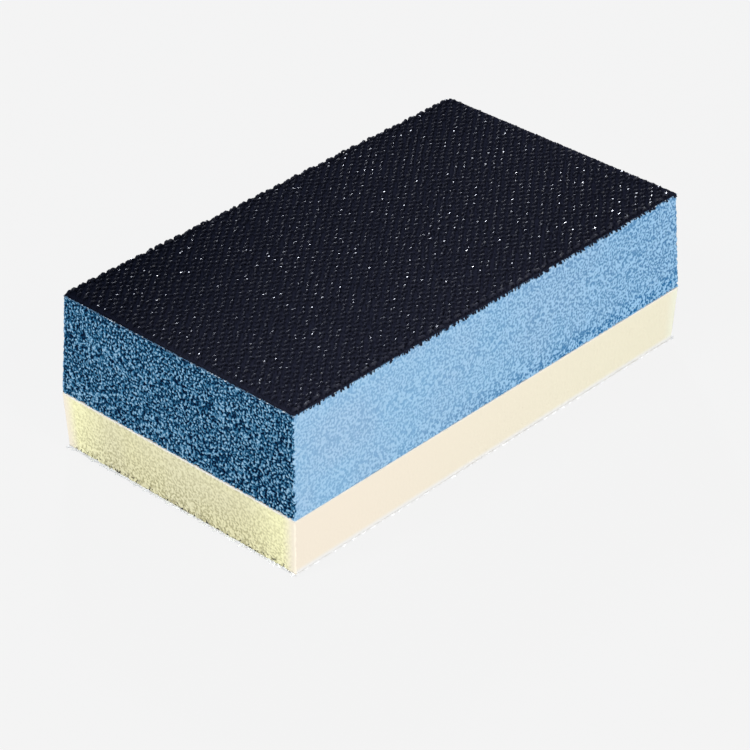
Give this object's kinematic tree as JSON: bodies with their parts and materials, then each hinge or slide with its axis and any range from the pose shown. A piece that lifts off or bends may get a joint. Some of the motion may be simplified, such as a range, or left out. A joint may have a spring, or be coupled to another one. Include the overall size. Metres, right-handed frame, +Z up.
{
  "type": "sanding block",
  "caption": "Rectangular hand sanding block: a thick foam slab glued to a thinner one, with a hook-and-loop face on the top and on the bottom.",
  "frame": {"origin": "centre of the white hook face, on the surface that the block stands on", "axes": "+X along the length, +Y across the width, +Z up out of the black hook face"},
  "size_m": [0.125, 0.07, 0.04],
  "materials": {
    "black_hook_tape": "woven nylon tape with shiny black monofilament hooks",
    "white_hook_tape": "woven nylon tape with clear white monofilament hooks",
    "blue_foam": "open sawn foam cells, matt",
    "cream_foam": "fine sawn foam cells, matt",
    "adhesive": "thin pale film of contact adhesive"
  },
  "bodies": {
    "root": {"white_hooks": "white_hook_tape", "white_hook_backing": "white_hook_tape", "white_adhesive_film": "adhesive", "cream_foam": "cream_foam", "glue_line": "adhesive", "blue_foam": "blue_foam", "black_adhesive_film": "adhesive", "black_hook_backing": "black_hook_tape", "black_hooks": "black_hook_tape"}
  },
  "joints": []
}
